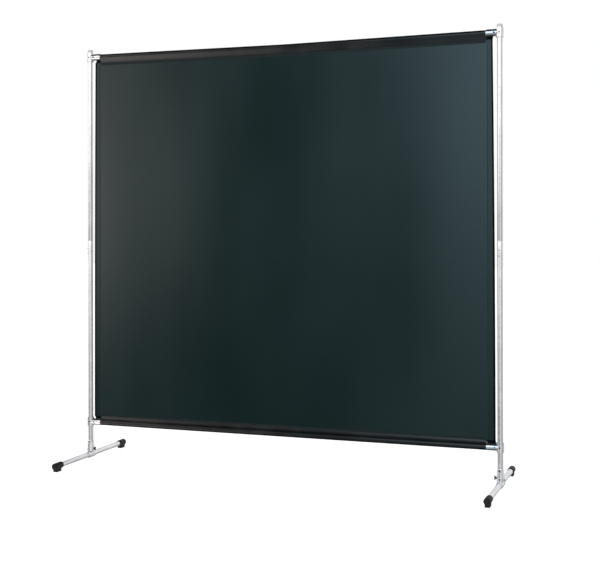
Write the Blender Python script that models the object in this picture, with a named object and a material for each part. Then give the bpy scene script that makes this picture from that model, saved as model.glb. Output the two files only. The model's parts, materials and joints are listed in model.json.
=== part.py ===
"""Free-standing welding curtain screen.

Two tube posts stand on turnable tube feet.  Two rails run between the posts, each through a
hem of the curtain, and tee fittings clamp them.  Posts and rails come apart in the middle.

Frame: origin on the floor under the middle of the screen, +X along the width, the front
looks along -Y, +Z up.  All values are metres.
"""

import math

import bmesh
import bpy
from mathutils import Vector

# Overall sizes.
SCREEN_HEIGHT = 2.000
POST_SPACING = 2.000
FOOT_LENGTH = 0.660

# Tube stock and the gap that slides over it.
TUBE_RADIUS = 0.0125
TUBE_WALL = 0.0015
GAP = 0.0003
RAIL_GAP = 0.0006
TUBE_SIDES = 24
HOLE_SIDES = 12
# The fittings' crossing round bores need this solver.
FITTING_SOLVER = "MANIFOLD"

# Post: cap, middle joint.
CAP_HEIGHT = 0.010
CAP_PLUG_DEPTH = 0.018
CAP_ROUNDING = 0.0025
POST_SEAM_HEIGHT = 1.018
SPIGOT_BELOW_SEAM = 0.075
BUTTON_ABOVE_SEAM = 0.0105
RIVET_BELOW_SEAM = 0.013
CRIMP_ABOVE_SEAM = 0.050
CRIMP_WIDTH = 0.006
CRIMP_DEPTH = 0.0007
BUTTON_TURN = {"left": math.radians(60), "right": math.radians(10)}

# Spring button and its leaf.
BUTTON_RADIUS = 0.0035
BUTTON_STAND_OUT = 0.0027
BUTTON_FLANGE_RADIUS = 0.0045
BUTTON_FLANGE_THICKNESS = 0.0012
LEAF_THICKNESS = 0.0007
LEAF_WIDTH = 0.005
LEAF_LENGTH = 0.040

# Rivets.
RIVET_RADIUS = 0.0022
RIVET_HEAD_RADIUS = 0.0036
RIVET_HEAD_HEIGHT = 0.0012
RIVET_TAIL_RADIUS = 0.0028
RIVET_TAIL_HEIGHT = 0.0012

# Tee fittings.
FITTING_WALL = 0.0040
TOP_RAIL_BELOW_TOP = 0.036
BOTTOM_RAIL_HEIGHT = 0.184
TEE_HALF_HEIGHT = 0.0215
TEE_REACH = 0.0585
TEE_WEB = 0.0030
FITTING_CHAMFER = 0.0008
ARM_WALL = 0.0030
RAIL_SCREW_REACH = 0.0235

# Set screws.
SCREW_RADIUS = 0.0030
SCREW_SOCKET_RADIUS = 0.0016
SCREW_SOCKET_DEPTH = 0.0020
SCREW_RECESS = 0.0004

# Rails.
RAIL_SAG = 0.007
RAIL_SPIGOT_LENGTH = 0.100
RAIL_RIVET_FROM_SEAM = 0.020
RAIL_RIVET_HEAD_HEIGHT = 0.0008

# Foot.
FOOT_TUBE_CLEARANCE = 0.0130
SADDLE_LENGTH = 0.060
SOCKET_HEIGHT = 0.086
SOCKET_WEB = 0.0015
EYE_RADIUS = 0.0085
EYE_STAND_OUT = 0.0022
FOOT_SCREW_HEIGHT = 0.0475
SADDLE_SCREW_OFFSET = 0.0240
GROOVE_WIDTH = 0.0020
GROOVE_DEPTH = 0.0012
GROOVE_MARGIN = 0.0012
HEX_SCREW_HEIGHT = 0.0455
HEX_HEAD_RADIUS = 0.0050
HEX_HEAD_HEIGHT = 0.0030
THUMB_SCREW_HEIGHT = 0.0520
THUMB_HUB_RADIUS = 0.0042
THUMB_HUB_LENGTH = 0.0060
WING_SPAN = 0.0180
WING_THICKNESS = 0.0030
WING_DEPTH = 0.0080

# Foot caps.
CAP_SLEEVE_WALL = 0.0027
CAP_SLEEVE_LENGTH = 0.058
CAP_END_WALL = 0.0040
CAP_END_ROUNDING = 0.0030
PAD_WIDTH = 0.0220
PAD_LENGTH = 0.0380
PAD_INSET = 0.0080

# Curtain.
SHEET_THICKNESS = 0.0010
HEM_THICKNESS = 0.0008
CURTAIN_EDGE = 0.025
CURTAIN_TAPER = 0.006
HEM_END_CLEARANCE = 0.0020
TOP_HEM_BELOW_TUBE = 0.0185
BOTTOM_HEM_ABOVE_TUBE = 0.0155
BOTTOM_HEM_SLACK = 0.0016
CORNER_CLEARANCE = 0.0022
HEM_ARC_STEPS = 10

# Values that follow from the ones above.
POST_X = POST_SPACING / 2
TUBE_BORE = TUBE_RADIUS - TUBE_WALL
SPIGOT_RADIUS = TUBE_BORE - GAP
SPIGOT_BORE = SPIGOT_RADIUS - TUBE_WALL
SOCKET_BORE = TUBE_RADIUS + GAP
RAIL_SOCKET_BORE = TUBE_RADIUS + RAIL_GAP
FITTING_RADIUS = SOCKET_BORE + FITTING_WALL
ARM_RADIUS = RAIL_SOCKET_BORE + ARM_WALL
TOP_RAIL_HEIGHT = SCREEN_HEIGHT - TOP_RAIL_BELOW_TOP
FOOT_AXIS_HEIGHT = FOOT_TUBE_CLEARANCE + TUBE_RADIUS
HEM_END = TEE_REACH + HEM_END_CLEARANCE
TOP_HEM_DROP = TUBE_RADIUS + TOP_HEM_BELOW_TUBE
BOTTOM_HEM_RISE = TUBE_RADIUS + BOTTOM_HEM_ABOVE_TUBE
POST_TOP = SCREEN_HEIGHT - CAP_HEIGHT - GAP
SOCKET_FLOOR = FOOT_AXIS_HEIGHT + SOCKET_BORE + SOCKET_WEB
POST_BOTTOM = SOCKET_FLOOR + GAP
BUTTON_HEIGHT = POST_SEAM_HEIGHT + BUTTON_ABOVE_SEAM
RIVET_HEIGHT = POST_SEAM_HEIGHT - RIVET_BELOW_SEAM
CRIMP_HEIGHT = POST_SEAM_HEIGHT + CRIMP_ABOVE_SEAM
SPIGOT_BOTTOM = POST_SEAM_HEIGHT - SPIGOT_BELOW_SEAM
SPIGOT_TOP = CRIMP_HEIGHT - CRIMP_WIDTH / 2 - GAP
RAIL_START = SOCKET_BORE + TEE_WEB + 2 * GAP
SIDES = {"left": -1, "right": 1}
CUTTER_EXTRA = 0.002


def clear_scene():
    """Remove every object of the open file."""
    for old in list(bpy.data.objects):
        bpy.data.objects.remove(old, do_unlink=True)


def make_material(name, colour, roughness, metallic):
    """A plain Principled material."""
    material = bpy.data.materials.new(name)
    material.use_nodes = True
    shader = material.node_tree.nodes["Principled BSDF"]
    shader.inputs["Base Color"].default_value = (*colour, 1)
    shader.inputs["Roughness"].default_value = roughness
    shader.inputs["Metallic"].default_value = metallic
    return material


def add_object(name, shape, material):
    """Turn a bmesh into an object with outward faces and smooth round sides."""
    bmesh.ops.recalc_face_normals(shape, faces=shape.faces)
    mesh = bpy.data.meshes.new(name)
    shape.to_mesh(mesh)
    shape.free()
    mesh.shade_smooth()
    mesh.set_sharp_from_angle(angle=math.radians(35))
    if material is not None:
        mesh.materials.append(material)
    thing = bpy.data.objects.new(name, mesh)
    bpy.context.scene.collection.objects.link(thing)
    return thing


def place(thing, parent=None, location=(0, 0, 0), rotation=(0, 0, 0)):
    """Stand an object in its parent's frame."""
    thing.parent = parent
    thing.location = location
    thing.rotation_euler = rotation
    return thing


def add_empty(name, location):
    """An empty that stands on a joint's axis."""
    empty = bpy.data.objects.new(name, None)
    bpy.context.scene.collection.objects.link(empty)
    empty.location = location
    return empty


def turned(name, outline, material=None, sides=TUBE_SIDES):
    """Turn a closed outline of (radius, height) points round the Z axis."""
    shape = bmesh.new()
    rings = []
    for radius, height in outline:
        if radius == 0:
            rings.append([shape.verts.new((0, 0, height))] * sides)
            continue
        angles = [math.tau * step / sides for step in range(sides)]
        rings.append([shape.verts.new((radius * math.cos(a), radius * math.sin(a), height)) for a in angles])
    for ring, above in zip(rings, rings[1:] + rings[:1]):
        for step in range(sides):
            following = (step + 1) % sides
            corners = [ring[step], ring[following], above[following], above[step]]
            corners = list(dict.fromkeys(corners))
            if len(corners) > 2:
                shape.faces.new(corners)
    return add_object(name, shape, material)


def rod_outline(radius, bottom, top, chamfer=0.0):
    """Outline of a solid rod, with a chamfer at both ends."""
    return [
        (0, bottom),
        (radius - chamfer, bottom),
        (radius, bottom + chamfer),
        (radius, top - chamfer),
        (radius - chamfer, top),
        (0, top),
    ] if chamfer else [(0, bottom), (radius, bottom), (radius, top), (0, top)]


def pipe_outline(radius, bore, bottom, top):
    """Outline of a plain pipe."""
    return [(bore, bottom), (radius, bottom), (radius, top), (bore, top)]


def box(name, low, high, material=None):
    """A box between two corners."""
    shape = bmesh.new()
    bmesh.ops.create_cube(shape, size=1)
    low = Vector(low)
    high = Vector(high)
    for vertex in shape.verts:
        spread = Vector(high - low)
        vertex.co = Vector(a * b for a, b in zip(vertex.co, spread)) + (low + high) / 2
    return add_object(name, shape, material)


def extruded(name, outline, half_width, material=None):
    """Extrude a closed outline in the XZ plane to both sides along Y."""
    shape = bmesh.new()
    front = [shape.verts.new((x, -half_width, z)) for x, z in outline]
    back = [shape.verts.new((x, half_width, z)) for x, z in outline]
    shape.faces.new(front)
    shape.faces.new(back)
    for step in range(len(outline)):
        following = (step + 1) % len(outline)
        shape.faces.new([front[step], front[following], back[following], back[step]])
    return add_object(name, shape, material)


def combine(target, tool, operation, solver="EXACT"):
    """Join or cut with a hidden tool object."""
    tool.hide_render = True
    tool.display_type = "WIRE"
    step = target.modifiers.new(operation.title(), "BOOLEAN")
    step.operation = operation
    step.solver = solver
    step.object = tool


def across(direction):
    """Euler angles that lay the Z axis along a horizontal direction, an angle from +X."""
    return (0, math.pi / 2, direction)


def drill(target, name, radius, parent, start, direction, far, solver="EXACT"):
    """Cut a round hole along a horizontal direction, from the start out to far."""
    cutter = turned(name, rod_outline(radius, 0, far), sides=HOLE_SIDES)
    place(cutter, parent, start, across(direction))
    combine(target, cutter, "DIFFERENCE", solver)


def build_set_screw(name, seat, surface, parent, start, rotation, material):
    """A socket set screw: tip at seat and head just under surface, along its own axis."""
    tip = seat + GAP
    head = surface - SCREW_RECESS
    outline = [
        (0, tip),
        (SCREW_RADIUS - 0.0006, tip),
        (SCREW_RADIUS, tip + 0.0006),
        (SCREW_RADIUS, head),
        (SCREW_SOCKET_RADIUS, head),
        (SCREW_SOCKET_RADIUS, head - SCREW_SOCKET_DEPTH),
        (0, head - SCREW_SOCKET_DEPTH),
    ]
    return place(turned(name, outline, material, 12), parent, start, rotation)


def build_post(side, metal, plastic, steel):
    """Two tubes, the spigot between them, its rivet and spring button, and the top cap."""
    base = add_empty(f"{side}_post_axis", (SIDES[side] * POST_X, 0, 0))
    front = -math.pi / 2
    turn = front - BUTTON_TURN[side]

    lower = turned(
        f"post_lower_{side}",
        pipe_outline(TUBE_RADIUS, TUBE_BORE, POST_BOTTOM, POST_SEAM_HEIGHT - GAP / 2),
        metal,
    )
    place(lower, base)
    drill(lower, f"post_lower_{side}_hole", RIVET_RADIUS + GAP, base, (0, 0, RIVET_HEIGHT), turn,
          TUBE_RADIUS + CUTTER_EXTRA)

    crimp_low = CRIMP_HEIGHT - CRIMP_WIDTH / 2
    crimp_high = CRIMP_HEIGHT + CRIMP_WIDTH / 2
    seam_top = POST_SEAM_HEIGHT + GAP / 2
    upper = turned(
        f"post_upper_{side}",
        [
            (TUBE_BORE, seam_top),
            (TUBE_RADIUS, seam_top),
            (TUBE_RADIUS, crimp_low),
            (TUBE_RADIUS - CRIMP_DEPTH, CRIMP_HEIGHT),
            (TUBE_RADIUS, crimp_high),
            (TUBE_RADIUS, POST_TOP),
            (TUBE_BORE, POST_TOP),
            (TUBE_BORE, crimp_high),
            (TUBE_BORE - CRIMP_DEPTH, CRIMP_HEIGHT),
            (TUBE_BORE, crimp_low),
        ],
        metal,
    )
    place(upper, base)
    drill(upper, f"post_upper_{side}_hole", BUTTON_RADIUS + GAP, base, (0, 0, BUTTON_HEIGHT), turn,
          TUBE_RADIUS + CUTTER_EXTRA)

    spigot = turned(
        f"post_spigot_{side}",
        pipe_outline(SPIGOT_RADIUS, SPIGOT_BORE, SPIGOT_BOTTOM, SPIGOT_TOP),
        steel,
    )
    place(spigot, base)
    drill(spigot, f"post_spigot_{side}_button_hole", BUTTON_RADIUS + GAP, base, (0, 0, BUTTON_HEIGHT),
          turn, TUBE_RADIUS)
    drill(spigot, f"post_spigot_{side}_rivet_hole", RIVET_RADIUS + GAP, base, (0, 0, RIVET_HEIGHT),
          turn, TUBE_RADIUS)

    build_rivet(f"post_rivet_{side}", SPIGOT_BORE, TUBE_RADIUS, RIVET_HEAD_HEIGHT, base,
                (0, 0, RIVET_HEIGHT), across(turn), steel)
    build_button(side, base, turn, steel)

    plug_radius = TUBE_BORE - GAP
    cap = turned(
        f"post_cap_{side}",
        [
            (0, POST_TOP - CAP_PLUG_DEPTH),
            (plug_radius, POST_TOP - CAP_PLUG_DEPTH),
            (plug_radius, POST_TOP + GAP),
            (TUBE_RADIUS, POST_TOP + GAP),
            (TUBE_RADIUS, SCREEN_HEIGHT - CAP_ROUNDING),
            (TUBE_RADIUS - CAP_ROUNDING * 0.3, SCREEN_HEIGHT - CAP_ROUNDING * 0.3),
            (TUBE_RADIUS - CAP_ROUNDING, SCREEN_HEIGHT),
            (0, SCREEN_HEIGHT),
        ],
        plastic,
    )
    place(cap, base)


def build_rivet(name, bore, surface, head_height, parent, start, rotation, material):
    """A rivet through two nested walls: the tail lies inside the bore, the head outside."""
    tail_top = math.sqrt(bore ** 2 - RIVET_TAIL_RADIUS ** 2) - GAP
    head_bottom = surface + GAP
    outline = [
        (0, tail_top - RIVET_TAIL_HEIGHT),
        (RIVET_TAIL_RADIUS, tail_top - RIVET_TAIL_HEIGHT),
        (RIVET_TAIL_RADIUS, tail_top),
        (RIVET_RADIUS, tail_top),
        (RIVET_RADIUS, head_bottom),
        (RIVET_HEAD_RADIUS, head_bottom),
        (RIVET_HEAD_RADIUS * 0.75, head_bottom + head_height * 0.75),
        (0, head_bottom + head_height),
    ]
    return place(turned(name, outline, material, 16), parent, start, rotation)


def build_button(side, base, turn, steel):
    """The spring button with the leg it rides on, and the fixed leg of the leaf spring."""
    flange_top = math.sqrt(SPIGOT_BORE ** 2 - BUTTON_FLANGE_RADIUS ** 2) - GAP
    flange_bottom = flange_top - BUTTON_FLANGE_THICKNESS
    top = TUBE_RADIUS + BUTTON_STAND_OUT
    shoulder = top - BUTTON_RADIUS * 0.45
    outline = [
        (0, flange_bottom),
        (BUTTON_FLANGE_RADIUS, flange_bottom),
        (BUTTON_FLANGE_RADIUS, flange_top),
        (BUTTON_RADIUS, flange_top),
        (BUTTON_RADIUS, shoulder),
        (BUTTON_RADIUS * 0.72, top - BUTTON_RADIUS * 0.14),
        (0, top),
    ]
    start = (0, 0, BUTTON_HEIGHT)
    button = turned(f"post_button_{side}", outline, steel, 20)
    place(button, base, start, across(turn))

    # The moving leg hangs down from the button, so it is drawn in a frame turned like it.
    leg_face = flange_bottom + LEAF_THICKNESS / 2
    leg = box(
        f"post_button_{side}_leg",
        (leg_face - LEAF_THICKNESS, -LEAF_WIDTH / 2, -LEAF_LENGTH),
        (leg_face, LEAF_WIDTH / 2, BUTTON_FLANGE_RADIUS),
    )
    place(leg, base, start, (0, 0, turn))
    combine(button, leg, "UNION")

    fixed_face = -(math.sqrt(SPIGOT_BORE ** 2 - LEAF_WIDTH ** 2 / 4) - GAP)
    outer_radius = (leg_face - fixed_face) / 2
    inner_radius = outer_radius - LEAF_THICKNESS
    middle = (leg_face + fixed_face) / 2
    bend_height = -LEAF_LENGTH - GAP
    angles = [math.pi * step / 10 for step in range(11)]
    outer = [(middle + outer_radius * math.cos(a), bend_height - outer_radius * math.sin(a)) for a in angles]
    inner = [(middle + inner_radius * math.cos(a), bend_height - inner_radius * math.sin(a)) for a in angles]
    top_of_leg = BUTTON_FLANGE_RADIUS
    fixed_leg = [(fixed_face, top_of_leg), (fixed_face + LEAF_THICKNESS, top_of_leg)]
    spring = extruded(f"post_spring_{side}", outer + fixed_leg + inner[::-1], LEAF_WIDTH / 2, steel)
    place(spring, base, start, (0, 0, turn))


def build_tee(name, side, height, metal, steel):
    """A tee fitting on the post with an arm toward the middle, and its two set screws."""
    inward = 0 if side == "left" else math.pi
    post = (SIDES[side] * POST_X, 0, height)
    base = add_empty(f"{name}_axis", post)
    tee = turned(name, rod_outline(FITTING_RADIUS, -TEE_HALF_HEIGHT, TEE_HALF_HEIGHT, FITTING_CHAMFER), metal)
    place(tee, base)

    arm = turned(f"{name}_arm", rod_outline(ARM_RADIUS, 0, TEE_REACH, FITTING_CHAMFER))
    place(arm, base, rotation=across(inward))
    combine(tee, arm, "UNION", FITTING_SOLVER)
    bore = turned(f"{name}_bore", rod_outline(SOCKET_BORE, -TEE_HALF_HEIGHT * 2, TEE_HALF_HEIGHT * 2))
    place(bore, base)
    combine(tee, bore, "DIFFERENCE", FITTING_SOLVER)
    arm_bore = turned(f"{name}_arm_bore", rod_outline(RAIL_SOCKET_BORE, SOCKET_BORE + TEE_WEB, TEE_REACH * 2))
    place(arm_bore, base, rotation=across(inward))
    combine(tee, arm_bore, "DIFFERENCE", FITTING_SOLVER)

    front = -math.pi / 2
    rail_start = (-SIDES[side] * RAIL_SCREW_REACH, 0, 0)
    reach = FITTING_RADIUS + CUTTER_EXTRA
    drill(tee, f"{name}_post_hole", SCREW_RADIUS + GAP, base, (0, 0, 0), front, reach, FITTING_SOLVER)
    drill(tee, f"{name}_rail_hole", SCREW_RADIUS + GAP, base, rail_start, front, reach, FITTING_SOLVER)
    build_set_screw(f"{name}_post_screw", TUBE_RADIUS, FITTING_RADIUS, base, (0, 0, 0),
                    across(front), steel)
    build_set_screw(f"{name}_rail_screw", TUBE_RADIUS, ARM_RADIUS, base, rail_start,
                    across(front), steel)


def build_rail(name, height, sag, rivet_up, metal, steel):
    """Two rail tubes from the tees to the middle, the spigot inside them and its rivet."""
    socket_middle = POST_X - (RAIL_START + TEE_REACH) / 2
    tilt = math.atan2(sag, socket_middle)
    for side in SIDES:
        inward = 0 if side == "left" else math.pi
        pivot = (SIDES[side] * socket_middle, 0, height)
        base = add_empty(f"{name}_{side}_seat", pivot)
        start = -(POST_X - RAIL_START - socket_middle)
        end = socket_middle / math.cos(tilt) - GAP / 2 - TUBE_RADIUS * math.sin(tilt)
        rail = turned(f"{name}_{side}", pipe_outline(TUBE_RADIUS, TUBE_BORE, start, end), metal)
        place(rail, base, rotation=(0, math.pi / 2 + tilt, inward))
        if side == "left":
            hole = turned(f"{name}_rivet_hole", rod_outline(RIVET_RADIUS + 2 * GAP, 0, TUBE_RADIUS * 2),
                          sides=HOLE_SIDES)
            place(hole, None, (-RAIL_RIVET_FROM_SEAM, 0, height - sag), rivet_up)
            combine(rail, hole, "DIFFERENCE")

    middle = (0, 0, height - sag)
    spigot_radius = TUBE_BORE - RAIL_GAP
    spigot_bore = spigot_radius - TUBE_WALL
    half = RAIL_SPIGOT_LENGTH / 2
    spigot = turned(f"{name}_spigot", pipe_outline(spigot_radius, spigot_bore, -half, half), steel)
    place(spigot, None, middle, across(0))
    hole = turned(f"{name}_spigot_hole", rod_outline(RIVET_RADIUS + GAP, 0, TUBE_RADIUS), sides=HOLE_SIDES)
    place(hole, None, (-RAIL_RIVET_FROM_SEAM, 0, height - sag), rivet_up)
    combine(spigot, hole, "DIFFERENCE")
    build_rivet(f"{name}_rivet", spigot_bore, TUBE_RADIUS + GAP, RAIL_RIVET_HEAD_HEIGHT, None,
                (-RAIL_RIVET_FROM_SEAM, 0, height - sag), rivet_up, steel)


def pocket_loop(radius, apex):
    """Teardrop round a tube: an arc about the axis and two tangents that meet at the apex.

    The arc's corners lie a little outside the radius, so that its flats stay clear of the tube.
    """
    reach = math.acos(radius / abs(apex))
    up = 1 if apex < 0 else -1
    span = math.pi - reach
    corner_radius = radius / math.cos(span / HEM_ARC_STEPS)
    loop = []
    for step in range(HEM_ARC_STEPS + 1):
        angle = -span + 2 * span * step / HEM_ARC_STEPS
        loop.append((corner_radius * math.sin(angle), up * corner_radius * math.cos(angle)))
    loop.append((0, apex))
    return loop


def build_hem(name, height, sag, radius, apex, vinyl):
    """A hem pocket round a rail, which follows the rail's sag at mid-span."""
    outer = pocket_loop(radius + HEM_THICKNESS, apex)
    inner = pocket_loop(radius, apex - math.copysign(HEM_THICKNESS * 3, apex))
    end = POST_X - HEM_END
    socket_middle = POST_X - (RAIL_START + TEE_REACH) / 2
    end_drop = sag * (1 - end / socket_middle)
    shape = bmesh.new()
    stations = []
    for along, drop in ((-end, end_drop), (0, sag), (end, end_drop)):
        rings = []
        for loop in (outer, inner):
            rings.append([shape.verts.new((along, y, height - drop + z)) for y, z in loop])
        stations.append(rings)
    count = len(outer)
    for step in range(count):
        following = (step + 1) % count
        for near, far in zip(stations, stations[1:]):
            for ring, next_ring in zip(near, far):
                shape.faces.new([ring[step], ring[following], next_ring[following], next_ring[step]])
        for rings in (stations[0], stations[-1]):
            shape.faces.new([rings[0][step], rings[0][following], rings[1][following], rings[1][step]])
    return add_object(name, shape, vinyl)


def build_curtain(vinyl, hem_vinyl):
    """The sheet with its two hems; the sheet's corners pass beside the ends of the hems."""
    build_hem("curtain_top_hem", TOP_RAIL_HEIGHT, RAIL_SAG, TUBE_RADIUS + GAP, -TOP_HEM_DROP, hem_vinyl)
    build_hem("curtain_bottom_hem", BOTTOM_RAIL_HEIGHT, 0, TUBE_RADIUS + BOTTOM_HEM_SLACK,
              BOTTOM_HEM_RISE, hem_vinyl)
    bottom_edge = POST_X - CURTAIN_EDGE
    top_edge = bottom_edge - CURTAIN_TAPER
    notch = POST_X - HEM_END + GAP
    end_drop = RAIL_SAG * (1 - notch / (POST_X - (RAIL_START + TEE_REACH) / 2))
    corner = FITTING_RADIUS + CORNER_CLEARANCE
    top = TOP_RAIL_HEIGHT - TOP_HEM_DROP - GAP
    bottom = BOTTOM_RAIL_HEIGHT + BOTTOM_HEM_RISE + GAP
    outline = [
        (-bottom_edge, BOTTOM_RAIL_HEIGHT + corner),
        (-notch, BOTTOM_RAIL_HEIGHT + corner),
        (-notch, bottom),
        (notch, bottom),
        (notch, BOTTOM_RAIL_HEIGHT + corner),
        (bottom_edge, BOTTOM_RAIL_HEIGHT + corner),
        (top_edge, TOP_RAIL_HEIGHT - corner),
        (notch, TOP_RAIL_HEIGHT - corner),
        (notch, top - end_drop),
        (0, top - RAIL_SAG),
        (-notch, top - end_drop),
        (-notch, TOP_RAIL_HEIGHT - corner),
        (-top_edge, TOP_RAIL_HEIGHT - corner),
    ]
    extruded("curtain_panel", outline, SHEET_THICKNESS / 2, vinyl)


def screw_directions(side):
    """Directions of a foot's thumb screw, toward the middle, and of its hex screw."""
    return (0, math.pi) if side == "left" else (math.pi, 0)


def build_foot_clamp(side, turn, metal):
    """The cast tee of a foot: a saddle along the foot tube and a socket for the post."""
    name = f"foot_clamp_{side}"
    saddle = (0, 0, FOOT_AXIS_HEIGHT)
    clamp = turned(name, rod_outline(FITTING_RADIUS, -SADDLE_LENGTH / 2, SADDLE_LENGTH / 2, FITTING_CHAMFER),
                   metal)
    place(clamp, turn, saddle, (math.pi / 2, 0, 0))
    socket = turned(f"{name}_socket", rod_outline(FITTING_RADIUS - GAP, FOOT_AXIS_HEIGHT, SOCKET_HEIGHT))
    place(socket, turn)
    combine(clamp, socket, "UNION", FITTING_SOLVER)
    front = -math.pi / 2
    inward, outward = screw_directions(side)
    eye_start = (0, 0, SOCKET_HEIGHT)
    eye = turned(f"{name}_eye", rod_outline(EYE_RADIUS, TUBE_RADIUS / 2, FITTING_RADIUS + EYE_STAND_OUT), sides=24)
    place(eye, turn, eye_start, across(front))
    combine(clamp, eye, "UNION", FITTING_SOLVER)

    bore = turned(f"{name}_bore", rod_outline(SOCKET_BORE, SOCKET_FLOOR, SOCKET_HEIGHT * 2))
    place(bore, turn)
    combine(clamp, bore, "DIFFERENCE", FITTING_SOLVER)
    tunnel = turned(f"{name}_tunnel", rod_outline(SOCKET_BORE, -SADDLE_LENGTH, SADDLE_LENGTH))
    place(tunnel, turn, saddle, (math.pi / 2, 0, 0))
    combine(clamp, tunnel, "DIFFERENCE", FITTING_SOLVER)
    groove = box(
        f"{name}_groove",
        (-GROOVE_WIDTH / 2, -FITTING_RADIUS - CUTTER_EXTRA,
         FOOT_SCREW_HEIGHT + SCREW_RADIUS + GAP + GROOVE_MARGIN),
        (GROOVE_WIDTH / 2, -FITTING_RADIUS + GROOVE_DEPTH, SOCKET_HEIGHT - EYE_RADIUS - GROOVE_MARGIN),
    )
    place(groove, turn)
    combine(clamp, groove, "DIFFERENCE", FITTING_SOLVER)

    hole = SCREW_RADIUS + GAP
    reach = FITTING_RADIUS + 2 * CUTTER_EXTRA
    drill(clamp, f"{name}_eye_hole", hole, turn, eye_start, front, reach, FITTING_SOLVER)
    drill(clamp, f"{name}_front_hole", hole, turn, (0, 0, FOOT_SCREW_HEIGHT), front, reach, FITTING_SOLVER)
    drill(clamp, f"{name}_thumb_hole", hole, turn, (0, 0, THUMB_SCREW_HEIGHT), inward, reach,
          FITTING_SOLVER)
    drill(clamp, f"{name}_hex_hole", hole, turn, (0, 0, HEX_SCREW_HEIGHT), outward, reach,
          FITTING_SOLVER)
    saddle_hole = turned(f"{name}_saddle_hole", rod_outline(hole, 0, reach), sides=HOLE_SIDES)
    place(saddle_hole, turn, (0, -SADDLE_SCREW_OFFSET, FOOT_AXIS_HEIGHT))
    combine(clamp, saddle_hole, "DIFFERENCE", FITTING_SOLVER)


def build_foot_screws(side, turn, steel, plastic):
    """The set screws of a foot clamp, its hex screw and its thumb screw."""
    front = -math.pi / 2
    inward, outward = screw_directions(side)
    build_set_screw(f"foot_eye_screw_{side}", TUBE_RADIUS, FITTING_RADIUS + EYE_STAND_OUT, turn,
                    (0, 0, SOCKET_HEIGHT), across(front), steel)
    build_set_screw(f"foot_front_screw_{side}", TUBE_RADIUS, FITTING_RADIUS, turn,
                    (0, 0, FOOT_SCREW_HEIGHT), across(front), steel)
    build_set_screw(f"foot_saddle_screw_{side}", TUBE_RADIUS, FITTING_RADIUS, turn,
                    (0, -SADDLE_SCREW_OFFSET, FOOT_AXIS_HEIGHT), (0, 0, 0), steel)

    head_seat = FITTING_RADIUS + GAP
    hex_screw = turned(
        f"foot_hex_screw_{side}",
        [
            (0, TUBE_RADIUS + GAP),
            (SCREW_RADIUS, TUBE_RADIUS + GAP),
            (SCREW_RADIUS, head_seat),
            (HEX_HEAD_RADIUS, head_seat),
            (HEX_HEAD_RADIUS, head_seat + HEX_HEAD_HEIGHT),
            (0, head_seat + HEX_HEAD_HEIGHT),
        ],
        steel,
        sides=6,
    )
    place(hex_screw, turn, (0, 0, HEX_SCREW_HEIGHT), across(outward))

    hub_top = head_seat + THUMB_HUB_LENGTH
    thumb = turned(
        f"foot_thumb_screw_{side}",
        [
            (0, TUBE_RADIUS + GAP),
            (SCREW_RADIUS, TUBE_RADIUS + GAP),
            (SCREW_RADIUS, head_seat),
            (THUMB_HUB_RADIUS, head_seat),
            (THUMB_HUB_RADIUS, hub_top),
            (0, hub_top),
        ],
        plastic,
        sides=20,
    )
    place(thumb, turn, (0, 0, THUMB_SCREW_HEIGHT), across(inward))
    wing_start = hub_top - THUMB_HUB_LENGTH / 2
    wing = box(
        f"foot_thumb_screw_{side}_wing",
        (-WING_SPAN / 2, -WING_THICKNESS / 2, wing_start),
        (WING_SPAN / 2, WING_THICKNESS / 2, wing_start + WING_DEPTH),
    )
    place(wing, turn, (0, 0, THUMB_SCREW_HEIGHT), across(inward))
    combine(thumb, wing, "UNION")


def build_foot_cap(name, turn, facing, rubber):
    """A rubber cap: a blind sleeve over the tube end and a pad that meets the floor."""
    radius = SOCKET_BORE + CAP_SLEEVE_WALL
    cap = turned(name, rod_outline(radius, 0, CAP_SLEEVE_LENGTH, CAP_END_ROUNDING), rubber)
    end = (0, facing * FOOT_LENGTH / 2, FOOT_AXIS_HEIGHT)
    inward = -facing * math.pi / 2
    place(cap, turn, end, across(inward))
    near = FOOT_LENGTH / 2 - PAD_INSET - PAD_LENGTH
    far = FOOT_LENGTH / 2 - PAD_INSET
    pad = box(
        f"{name}_pad",
        (-PAD_WIDTH / 2, min(facing * near, facing * far), 0),
        (PAD_WIDTH / 2, max(facing * near, facing * far), FOOT_AXIS_HEIGHT - TUBE_RADIUS / 2),
    )
    place(pad, turn)
    combine(cap, pad, "UNION")
    bore = turned(f"{name}_bore", rod_outline(SOCKET_BORE, CAP_END_WALL, CAP_SLEEVE_LENGTH * 2))
    place(bore, turn, end, across(inward))
    combine(cap, bore, "DIFFERENCE")


def build_foot(side, metal, casting, rubber, steel, plastic):
    """A foot that turns about its post: clamp, tube, two caps and the screws."""
    turn = add_empty(f"foot_{side}_turn", (SIDES[side] * POST_X, 0, 0))
    build_foot_clamp(side, turn, casting)
    half = FOOT_LENGTH / 2 - CAP_END_WALL - GAP
    tube = turned(f"foot_tube_{side}", pipe_outline(TUBE_RADIUS, TUBE_BORE, -half, half), metal)
    place(tube, turn, (0, 0, FOOT_AXIS_HEIGHT), (math.pi / 2, 0, 0))
    build_foot_cap(f"foot_cap_front_{side}", turn, -1, rubber)
    build_foot_cap(f"foot_cap_rear_{side}", turn, 1, rubber)
    build_foot_screws(side, turn, steel, plastic)


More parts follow.
